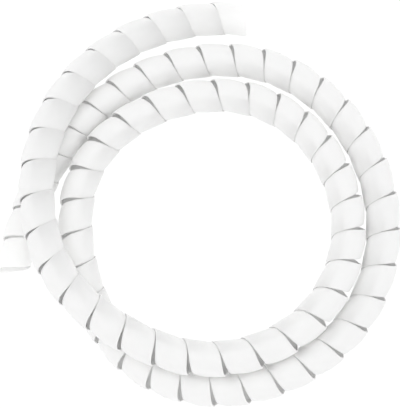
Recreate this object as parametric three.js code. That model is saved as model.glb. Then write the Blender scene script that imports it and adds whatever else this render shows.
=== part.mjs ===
// Spiral cable wrap: one extruded tube slit along a helix, lying in a loose coil on the floor.
// Millimetres, +Z up, the floor at z = 0.

import * as THREE from "three";

// Driving dimensions of the tube and its slit
const outerDiameter = 22;
const wall = 1.2;
const turns = 71.85;
const slitWidth = 1.3;
const slideClearance = 0.5;

// On the outer side of the bend, the trailing edge lies this much deeper than the leading one
const trailingTuck = 1.5;

// Both ends are cut across, the blade turned this far from square, towards the strip's lie
const cutSlant = THREE.MathUtils.degToRad(17);

// Colour and finish of the natural polyethylene
const wrapColour = 0xf2f2f1;
const wrapRoughness = 0.5;

// How finely the strip is stepped round the tube
const stepsPerTurn = 20;

// Route of the tube's centre line from its upper end to its lower end, in tube diameters:
// to the right, away from the front, and above a strand that lies on the floor.
// The curve is drawn towards these points and gives each stretch an equal share of the turns.
const route = [
  [4.5, 4.73, 0],
  [1.32, 5.76, 0],
  [-1.63, 5.21, 0.27],
  [-3.85, 3.33, 0.77],
  [-4.8, 0.66, 1.12],
  [-4.29, -2.31, 1.12],
  [-2.07, -4.21, 1.01],
  [0.7, -5.02, 0.6],
  [3.56, -3.69, 0.36],
  [4.7, -0.93, 0.03],
  [3.78, 1.78, 0],
  [1.46, 3.35, 0.12],
  [-1.61, 2.8, 0.27],
  [-3.7, 0.84, 0.26],
  [-3.62, -2.22, 0],
  [-2.19, -4.88, 0],
  [0.4, -5.79, 0],
  [3.13, -5.06, 0],
  [5.2, -3.05, 0],
  [5.63, 0.06, 0],
  [4.32, 2.8, 0],
  [1.99, 4.35, 0.04],
  [-0.94, 4.2, 0],
  [-3.28, 2.76, 0],
  [-4.82, 0.5, 0],
  [-5.44, -2.11, 0],
  [-5.79, -4.97, 0],
];

// A smooth curve drawn towards its points: a uniform cubic B-spline
class SmoothRoute extends THREE.Curve {
  constructor(points) {
    super();
    this.points = points;
  }

  getPoint(t, target = new THREE.Vector3()) {
    const spans = this.points.length - 3;
    const along = THREE.MathUtils.clamp(t, 0, 1) * spans;
    const first = Math.min(Math.floor(along), spans - 1);
    const f = along - first;
    const shares = [
      (1 - f) ** 3,
      3 * f ** 3 - 6 * f ** 2 + 4,
      -3 * f ** 3 + 3 * f ** 2 + 3 * f + 1,
      f ** 3,
    ];
    target.set(0, 0, 0);
    shares.forEach((share, i) => target.addScaledVector(this.points[first + i], share / 6));
    return target;
  }
}

const outerRadius = outerDiameter / 2;
const stepAngle = (2 * Math.PI) / stepsPerTurn;

// The stepped tube lies on the flat of its lowest step, so that flat is at z = 0
const floorCentre = outerRadius * Math.cos(stepAngle / 2);

const centreLine = new SmoothRoute(
  route.map(
    ([x, y, lift]) =>
      new THREE.Vector3(x * outerDiameter, y * outerDiameter, floorCentre + lift * outerDiameter),
  ),
);
const pitch = centreLine.getLength() / turns;

// The tube's centre, its direction, the way out of the bend, and up, after a number of turns.
// Past either end of the route it goes straight on.
function tubeAt(turn) {
  const onRoute = THREE.MathUtils.clamp(turn, 0, turns);
  const along = centreLine.getTangent(onRoute / turns);
  const centre = centreLine.getPoint(onRoute / turns);
  centre.addScaledVector(along, (turn - onRoute) * pitch);
  const outward = new THREE.Vector3(along.y, -along.x, 0).normalize();
  const up = new THREE.Vector3().crossVectors(outward, along);
  return { centre, along, outward, up };
}

// The strip's width along the tube, from the middle of the slit on one side to the middle of
// the slit on the other, less the slit
function bandWidth(turn) {
  return tubeAt(turn - 0.5).centre.distanceTo(tubeAt(turn + 0.5).centre) - slitWidth;
}

// Room left in the slit at an angle from the outer side of the bend, which opens the slit
// on that side and closes it on the inner one
function slitRoom(turn, angle) {
  const before = tubeAt(turn - 0.5);
  const after = tubeAt(turn + 0.5);
  const reach = outerRadius * Math.cos(angle);
  before.centre.addScaledVector(before.outward, reach);
  after.centre.addScaledVector(after.outward, reach);
  return before.centre.distanceTo(after.centre) - bandWidth(turn);
}

// Where the slit closes, the leading edge is tucked in under the next turn
function leadingEdgeTuck(turn, angle) {
  const open = THREE.MathUtils.smoothstep(slitRoom(turn, angle), 0, slitWidth / 2);
  return (1 - open) * (wall + slideClearance);
}

// On the outer side the trailing edge is tucked in, and the lowest and highest steps lie flat
function trailingEdgeTuck(angle) {
  const flat = Math.sin(stepAngle / 2);
  return (trailingTuck * Math.max(0, Math.cos(angle) - flat)) / (1 - flat);
}

// The plane that the tube is cut by after a number of turns, facing along the tube
function cutPlane(turn) {
  const { centre, along, outward } = tubeAt(turn);
  const facing = along.multiplyScalar(Math.cos(cutSlant));
  facing.addScaledVector(outward, -Math.sin(cutSlant));
  return new THREE.Plane().setFromNormalAndCoplanarPoint(facing, centre);
}

const upperCut = cutPlane(0);
const lowerCut = cutPlane(turns);

// One cross-section of the strip, straight along the tube: outside and inside at the
// trailing edge, then inside and outside at the leading edge, cut off at the tube's ends
function stripSection(turn, angle) {
  const { centre, along, outward, up } = tubeAt(turn);
  const radial = outward.multiplyScalar(Math.cos(angle)).addScaledVector(up, -Math.sin(angle));
  const halfBand = bandWidth(turn) / 2;
  const trailingRadius = outerRadius - trailingEdgeTuck(angle);
  const leadingRadius = outerRadius - leadingEdgeTuck(turn, angle);
  const corner = (shift, radius) => {
    const point = centre.clone().addScaledVector(radial, radius);
    const reach = (plane) => -plane.distanceToPoint(point) / along.dot(plane.normal);
    const lowest = turn < 1 ? reach(upperCut) : -Infinity;
    const highest = turn > turns - 1 ? reach(lowerCut) : Infinity;
    return point.addScaledVector(along, THREE.MathUtils.clamp(shift, lowest, highest));
  };
  return [
    corner(-halfBand, trailingRadius),
    corner(-halfBand, trailingRadius - wall),
    corner(halfBand, leadingRadius - wall),
    corner(halfBand, leadingRadius),
  ];
}

// The whole strip as one closed body, a right-handed helix that starts and stops in a blunt
// tip, where the slit runs out through the cut end of the tube
function stripGeometry() {
  const cutReach = outerRadius * Math.tan(cutSlant);
  const tipTurns = 0.5 - (slitWidth / 2 + cutReach + wall) / pitch;
  const firstTurn = -Math.floor(tipTurns * stepsPerTurn) / stepsPerTurn;
  const stripTurns = turns - 2 * firstTurn;
  const steps = Math.round(stripTurns * stepsPerTurn);
  const startAngle = Math.PI - stepAngle / 2;
  const positions = [];
  for (let i = 0; i <= steps; i += 1) {
    const turn = firstTurn + (stripTurns * i) / steps;
    const section = stripSection(turn, startAngle + 2 * Math.PI * turn);
    section.forEach((corner) => positions.push(corner.x, corner.y, corner.z));
  }
  const index = [];
  for (let i = 0; i < steps; i += 1) {
    for (let side = 0; side < 4; side += 1) {
      const a = i * 4 + side;
      const b = i * 4 + ((side + 1) % 4);
      index.push(a, b, a + 4, b, b + 4, a + 4);
    }
  }
  const last = steps * 4;
  index.push(0, 2, 1, 0, 3, 2);
  index.push(last, last + 1, last + 2, last, last + 2, last + 3);
  const geometry = new THREE.BufferGeometry();
  geometry.setAttribute("position", new THREE.Float32BufferAttribute(positions, 3));
  geometry.setIndex(index);
  geometry.computeVertexNormals();
  return geometry;
}

const wrapMaterial = new THREE.MeshStandardMaterial({
  color: wrapColour,
  roughness: wrapRoughness,
  metalness: 0,
});

const spiralWrap = new THREE.Mesh(stripGeometry(), wrapMaterial);
spiralWrap.name = "spiral_wrap";

const object = new THREE.Group();
object.name = "spiral_cable_wrap";
object.add(spiralWrap);

export default object;
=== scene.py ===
"""A spiral cable wrap of natural polyethylene, lying in a loose coil on a light table."""

import bpy
import numpy as np
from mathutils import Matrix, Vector


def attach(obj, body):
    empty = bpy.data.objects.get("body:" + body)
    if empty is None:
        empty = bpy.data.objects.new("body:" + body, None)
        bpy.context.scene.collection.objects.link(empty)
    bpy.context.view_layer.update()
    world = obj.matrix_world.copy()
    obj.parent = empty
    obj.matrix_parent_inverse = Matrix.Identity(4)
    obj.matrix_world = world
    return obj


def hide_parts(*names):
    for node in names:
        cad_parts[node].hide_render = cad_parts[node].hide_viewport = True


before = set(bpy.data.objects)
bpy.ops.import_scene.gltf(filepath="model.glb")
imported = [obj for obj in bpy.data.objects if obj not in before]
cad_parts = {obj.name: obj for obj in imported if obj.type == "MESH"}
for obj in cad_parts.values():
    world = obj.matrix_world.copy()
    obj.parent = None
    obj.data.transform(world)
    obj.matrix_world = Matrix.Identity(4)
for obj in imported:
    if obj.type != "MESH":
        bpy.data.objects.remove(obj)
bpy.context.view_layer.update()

# The photograph's camera.
# A still camera held high over the front of the coil, almost straight above it, at arm's length.
# Its lens is given by how wide a strip of the bench the frame takes in at that distance.
looks_at = Vector((0.0008, -0.0046, 0.0103))
height_angle = np.radians(80.0)
camera_distance = 0.564
seen_width = 0.2585

camera_data = bpy.data.cameras.new("camera")
camera_data.sensor_fit = "HORIZONTAL"
camera_data.lens = camera_data.sensor_width * camera_distance / seen_width
camera = bpy.data.objects.new("camera", camera_data)
towards_camera = Vector((0.0, -np.cos(height_angle), np.sin(height_angle)))
camera.location = looks_at + camera_distance * towards_camera
camera.rotation_euler = towards_camera.to_track_quat("Z", "Y").to_euler()
bpy.context.collection.objects.link(camera)
bpy.context.scene.camera = camera

# The wrap.
# One piece: a soft polyethylene tube, extruded straight and slit right through along a helix,
# so that it is a single wide strip wound closed. It lies by its own weight in two and a half
# turns, its upper end across its lower one.
tube_diameter = 0.022
tube_wall = 0.0012
tube_turns = 71.85
squeezed_edge = 0.0005
slide_clearance = 0.0002
closing_room = 0.0006
trailing_tuck = 0.0015
cut_slant = np.radians(17.0)
edge_rounding = 0.0004
outer_crown, inner_crown = 0.0011, 0.0001
tip_turns = 0.2
steps_per_turn = 60
start_angle = np.radians(153.0)

# How the wrap lies along its length: the turn, the slit's width there, which is below zero where
# the edges lap over each other even on a straight stretch, and the turns' yaw
lie = np.array([
    (0, -0.0002, 0.0015), (10, -0.0001, 0.0015), (17, 0.0012, 0.0010), (48, 0.0013, 0.0010),
    (51, 0.0005, 0.0010), (55, 0.0005, 0.0010), (58, 0.0012, 0.0010), (72, 0.0012, 0.0010),
])

# The route of the tube's centre line, in tube diameters made metres: to the right, away from
# the front, and above a strand that lies on the floor
route = tube_diameter * np.array([
    (4.5, 4.73, 0), (1.32, 5.76, 0), (-1.63, 5.21, 0.27), (-3.85, 3.33, 0.77),
    (-4.8, 0.66, 1.12), (-4.29, -2.31, 1.12), (-2.07, -4.21, 1.01), (0.7, -5.02, 0.6),
    (3.56, -3.69, 0.36), (4.7, -0.93, 0.03), (3.78, 1.78, 0), (1.46, 3.35, 0.12),
    (-1.61, 2.8, 0.27), (-3.7, 0.84, 0.26), (-3.62, -2.22, 0), (-2.19, -4.88, 0),
    (0.4, -5.79, 0), (3.13, -5.06, 0), (5.2, -3.05, 0), (5.63, 0.06, 0),
    (4.32, 2.8, 0), (1.99, 4.35, 0.04), (-0.94, 4.2, 0), (-3.28, 2.76, 0),
    (-4.82, 0.5, 0), (-5.44, -2.11, 0), (-5.79, -4.97, 0),
])
tube_radius = tube_diameter / 2
route[:, 2] += tube_radius


def along_route(turn, shares):
    """Sum of the four points round each turn, each times its share, a cubic in how far the turn
    is along its own stretch of the route: a uniform cubic B-spline."""
    stretches = len(route) - 3
    place = np.clip(turn / tube_turns, 0, 1) * stretches
    first = np.minimum(place.astype(int), stretches - 1)
    f = place - first
    return sum(share(f)[:, None] * route[first + i] for i, share in enumerate(shares))


def centre_line(turn):
    """The tube's centre after so many turns: cubic shares (1-f)^3, 3f^3-6f^2+4,
    -3f^3+3f^2+3f+1 and f^3, all over 6."""
    return along_route(turn, (
        lambda f: (1 - f) ** 3 / 6,
        lambda f: (3 * f ** 3 - 6 * f ** 2 + 4) / 6,
        lambda f: (-3 * f ** 3 + 3 * f ** 2 + 3 * f + 1) / 6,
        lambda f: f ** 3 / 6,
    ))


length_steps = np.linspace(0, tube_turns, 3000)
wrap_length = np.linalg.norm(np.diff(centre_line(length_steps), axis=0), axis=1).sum()
tube_pitch = wrap_length / tube_turns


def tube_frame(turn):
    """The tube's centre, its direction (the centre line's derivative, made one long), the way
    out of the bend (the direction turned a quarter to the right) and up (across both). Past
    either end of the route the tube goes straight on, a pitch a turn."""
    along = along_route(turn, (
        lambda f: -((1 - f) ** 2) / 2,
        lambda f: (3 * f ** 2 - 4 * f) / 2,
        lambda f: (-3 * f ** 2 + 2 * f + 1) / 2,
        lambda f: f ** 2 / 2,
    ))
    along /= np.linalg.norm(along, axis=1)[:, None]
    past = turn - np.clip(turn, 0, tube_turns)
    centre = centre_line(turn) + along * (past * tube_pitch)[:, None]
    outward = np.stack([along[:, 1], -along[:, 0], np.zeros(len(turn))], 1)
    outward /= np.linalg.norm(outward, axis=1)[:, None]
    return centre, along, outward, np.cross(outward, along)


def smooth_step(x, low, high):
    """0 below low, 1 above high, and 3t^2-2t^3 of the share t of the way between."""
    t = np.clip((x - low) / (high - low), 0, 1)
    return t * t * (3 - 2 * t)


def slit_width(turn):
    """The slit's width on a straight stretch, in a straight line between the rows of lie."""
    return np.interp(turn, lie[:, 0], lie[:, 1])


def band_and_room(turn, angle):
    """The strip's width is the distance from half a turn before to half a turn after, less the
    slit. The slit's room is the same distance on the tube's skin, at that angle from the outer
    side of the bend, less the strip's width: the bend opens the slit there, or closes it."""
    before, _, before_out, _ = tube_frame(turn - 0.5)
    after, _, after_out, _ = tube_frame(turn + 0.5)
    band = np.linalg.norm(after - before, axis=1) - slit_width(turn)
    reach = (tube_radius * np.cos(angle))[:, None]
    span = after + reach * after_out - before - reach * before_out
    return band, np.linalg.norm(span, axis=1) - band


def strip_profile():
    """The strip's closed section as three lists: its place across the strip from -1 to 1, a
    shift along the tube, and a depth from the outer surface. Four quarter circles round the
    edges, with points between them on the outer face and the inner one."""
    r = edge_rounding
    arc = np.radians([0.0, 45.0, 90.0])
    out_s, out_c = r * np.sin(arc), r * np.cos(arc)
    outer = np.array([-0.7, -0.4, 0.0, 0.4, 0.7])
    inner = np.array([0.6, 0.0, -0.6])
    share = np.concatenate([np.full(3, -1.0), outer, np.full(6, 1.0), inner, np.full(3, -1.0)])
    shift = np.concatenate([-out_c, np.zeros(5), out_s, out_c, np.zeros(3), -out_s])
    depth = np.concatenate([
        r - out_s, np.zeros(5), r - out_c, tube_wall - r + out_s,
        np.full(3, tube_wall), tube_wall - r + out_c,
    ])
    return share, shift, depth


def reach_to_cut(skin, along, cut_turn):
    """How far along the tube each point of the skin is from a cut: (centre - point) . facing
    / along . facing, where the cut faces along the tube there, turned by the slant so that the
    outer side of the bend stands further on."""
    centre, forward, outward, _ = tube_frame(np.array([cut_turn]))
    facing = (forward * np.cos(cut_slant) - outward * np.sin(cut_slant))[0]
    return (centre[0] - skin) @ facing / (along @ facing)[:, None]


def strip_surface():
    """Grid of points over turns (rows) and the section's outline (columns).
    Point = centre + along * a + radial * (radius + lift - depth - tucks - crown), where radial
    turns clockwise, seen along the tube, from the way out of the bend. Each turn is yawed, which
    shifts its middle by -yaw * cos(angle). The share of a across the strip, from -1 to 1, is
    called across. The tucks are (across + 1)/2 of the leading edge's, which slides in under
    the next turn where the slit closes, and (1 - across)/2 of the trailing edge's, on the outer
    side. Where the slit closes, (1 - across)/2 of the trailing edge's wall is squeezed thinner to
    make room. The crown takes its height times across^2. The lift, half the tucks less
    outer tuck^2/(16 crown), brings the strip's highest part back to the tube's radius. Near the
    ends, a stops at the cuts."""
    strip_turns = tube_turns + 2 * tip_turns
    turn = np.linspace(-tip_turns, tube_turns + tip_turns, round(steps_per_turn * strip_turns) + 1)
    angle = start_angle + 2 * np.pi * turn
    centre, along, outward, up = tube_frame(turn)
    radial = np.cos(angle)[:, None] * outward - np.sin(angle)[:, None] * up
    width, room = band_and_room(turn, angle)
    closed = 1 - smooth_step(room, 0, closing_room)
    middle = -np.interp(turn, lie[:, 0], lie[:, 2]) * np.cos(angle)
    squeeze = closed * (1 - squeezed_edge / tube_wall)
    leading_tuck = closed * (squeezed_edge + slide_clearance)
    outer_tuck = trailing_tuck * np.maximum(0, np.cos(angle))
    crown = inner_crown + (outer_crown - inner_crown) * (1 + np.cos(angle)) / 2
    lift = (leading_tuck + outer_tuck) / 2 - outer_tuck ** 2 / (16 * crown)
    turn_column, width, middle, squeeze, leading_tuck, outer_tuck, crown, lift = (
        values[:, None]
        for values in (turn, width, middle, squeeze, leading_tuck, outer_tuck, crown, lift)
    )
    share, shift, depth = strip_profile()
    from_centre = np.broadcast_to(tube_radius - depth, (len(turn), len(depth)))
    for _ in range(2):
        skin = centre[:, None] + radial[:, None] * from_centre[..., None]
        upper = np.where(turn_column < 1, reach_to_cut(skin, along, 0.0), -np.inf)
        lower = np.where(turn_column > tube_turns - 1, reach_to_cut(skin, along, tube_turns), np.inf)
        start = np.maximum(middle - width / 2, upper)
        stop = np.minimum(middle + width / 2, lower)
        a = (start + stop) / 2 + share * ((stop - start) / 2 - edge_rounding) + shift
        across = 2 * (a - middle) / width
        squeezed_depth = depth * (1 - squeeze * (1 - across) / 2)
        from_centre = (
            tube_radius + lift - squeezed_depth - leading_tuck * (across + 1) / 2
            - outer_tuck * (1 - across) / 2 - crown * across ** 2
        )
    points = centre[:, None] + along[:, None] * a[..., None] + radial[:, None] * from_centre[..., None]
    place = np.stack([
        np.cos(angle)[:, None] * from_centre,
        np.sin(angle)[:, None] * from_centre,
        turn_column * tube_pitch + a,
    ], -1)
    return points, place


def closed_strip(name, points):
    """A mesh of quads between neighbouring rows and columns, with one face on each cut end."""
    rows, columns = points.shape[:2]
    i = np.arange(rows - 1)[:, None] * columns
    j = np.arange(columns)[None, :]
    k = (j + 1) % columns
    quads = np.stack([i + j, i + columns + j, i + columns + k, i + k], -1).reshape(-1, 4)
    first_cut = list(range(columns))
    last_cut = [(rows - 1) * columns + c for c in reversed(range(columns))]
    mesh = bpy.data.meshes.new(name)
    mesh.from_pydata(points.reshape(-1, 3), [], quads.tolist() + [first_cut, last_cut])
    mesh.polygons.foreach_set("use_smooth", np.arange(len(mesh.polygons)) < len(quads))
    mesh.validate()
    piece = bpy.data.objects.new(name, mesh)
    bpy.context.collection.objects.link(piece)
    return piece


strip_points, strip_place = strip_surface()
wrap = closed_strip("polyethylene_wrap", strip_points)
tube_place = wrap.data.attributes.new("tube_place", "FLOAT_VECTOR", "POINT")
tube_place.data.foreach_set("vector", strip_place.astype(np.float32).ravel())

route_steps = np.linspace(0, tube_turns, 217)
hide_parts("spiral_wrap")
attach(wrap, "root")
centre_line(np.zeros(1))[0]
centre_line(route_steps)

# The polyethylene of the wrap.
# Natural low-density polyethylene, extruded: milky white, satin and a little waxy, letting some
# light through, with faint draw lines that run straight along the tube.


def linear(hex_colour):
    """An sRGB hex colour as linear red, green, blue and alpha."""
    s = np.array([int(hex_colour[i:i + 2], 16) / 255 for i in (1, 3, 5)])
    return (*np.where(s <= 0.04045, s / 12.92, ((s + 0.055) / 1.055) ** 2.4), 1.0)


def add_node(tree, kind, links=(), **settings):
    """A node of that kind, with its properties or input values set and its inputs linked."""
    node = tree.nodes.new(kind)
    for name, value in settings.items():
        if hasattr(node, name):
            setattr(node, name, value)
        else:
            node.inputs[name.replace("_", " ")].default_value = value
    for name, source in dict(links).items():
        tree.links.new(source, node.inputs[name])
    return node


milky_white = linear("#FCFCFB")
milky_shade = linear("#F8F8F7")
draw_line_spacing = 0.0008
mottle_size = 0.006
draw_line_depth = 0.00002

natural_polyethylene = bpy.data.materials.new("natural_polyethylene_extruded")
natural_polyethylene.use_nodes = True
tree = natural_polyethylene.node_tree
tree.nodes.clear()
on_tube = add_node(tree, "ShaderNodeAttribute", attribute_name="tube_place")
stretched = add_node(
    tree, "ShaderNodeMapping", {"Vector": on_tube.outputs["Vector"]}, Scale=(1.0, 1.0, 0.02)
)
draw_lines = add_node(
    tree, "ShaderNodeTexNoise", {"Vector": stretched.outputs["Vector"]},
    Scale=1 / draw_line_spacing, Detail=2.0, Roughness=0.5,
)
mottle = add_node(
    tree, "ShaderNodeTexNoise", {"Vector": on_tube.outputs["Vector"]},
    Scale=1 / mottle_size, Detail=3.0, Roughness=0.55,
)
tint = add_node(
    tree, "ShaderNodeMix", {"Factor": mottle.outputs["Fac"]}, data_type="RGBA",
)
tint.inputs[6].default_value = milky_white
tint.inputs[7].default_value = milky_shade
gloss = add_node(
    tree, "ShaderNodeMapRange", {"Value": mottle.outputs["Fac"]}, To_Min=0.40, To_Max=0.52,
)
relief = add_node(
    tree, "ShaderNodeBump", {"Height": draw_lines.outputs["Fac"]},
    Strength=0.35, Distance=draw_line_depth,
)
skin = add_node(
    tree, "ShaderNodeBsdfPrincipled",
    {
        "Base Color": tint.outputs[2],
        "Roughness": gloss.outputs["Result"],
        "Normal": relief.outputs["Normal"],
    },
    IOR=1.51, Specular_IOR_Level=0.25, Subsurface_Weight=0.75,
    Subsurface_Radius=(1.0, 1.0, 1.0), Subsurface_Scale=0.003,
)
add_node(tree, "ShaderNodeOutputMaterial", {"Surface": skin.outputs["BSDF"]})
wrap.data.materials.append(natural_polyethylene)

# The light table that the coil lies on.
# A sheet of white acrylic lit from below, so that it is pure white and takes no shadow.
table_half = 1.5
table_mesh = bpy.data.meshes.new("light_table")
table_mesh.from_pydata(
    [(x * table_half, y * table_half, -0.0002) for x, y in ((-1, -1), (1, -1), (1, 1), (-1, 1))],
    [], [(0, 1, 2, 3)],
)
light_table = bpy.data.objects.new("light_table", table_mesh)
bpy.context.collection.objects.link(light_table)
lit_acrylic = bpy.data.materials.new("white_acrylic_lit_from_below")
lit_acrylic.use_nodes = True
acrylic = lit_acrylic.node_tree.nodes["Principled BSDF"]
acrylic.inputs["Base Color"].default_value = linear("#404040")
acrylic.inputs["Roughness"].default_value = 0.9
acrylic.inputs["Emission Color"].default_value = (1.0, 1.0, 1.0, 1.0)
acrylic.inputs["Emission Strength"].default_value = 1.0
table_mesh.materials.append(lit_acrylic)

# The light: a white tent all round, and one wide soft box above the coil.
tent = bpy.data.worlds.new("white_tent")
tent.use_nodes = True
tent.node_tree.nodes["Background"].inputs["Color"].default_value = (1.0, 1.0, 1.0, 1.0)
tent.node_tree.nodes["Background"].inputs["Strength"].default_value = 0.96
bpy.context.scene.world = tent
bpy.context.scene.view_settings.view_transform = "Standard"

soft_box_data = bpy.data.lights.new("soft_box", "AREA")
soft_box_data.shape = "SQUARE"
soft_box_data.size = 0.9
soft_box_data.energy = 2.4
soft_box = bpy.data.objects.new("soft_box", soft_box_data)
soft_box.location = (-0.1, 0.0, 1.2)
soft_box.rotation_euler = (soft_box.location - looks_at).to_track_quat("Z", "Y").to_euler()
bpy.context.collection.objects.link(soft_box)
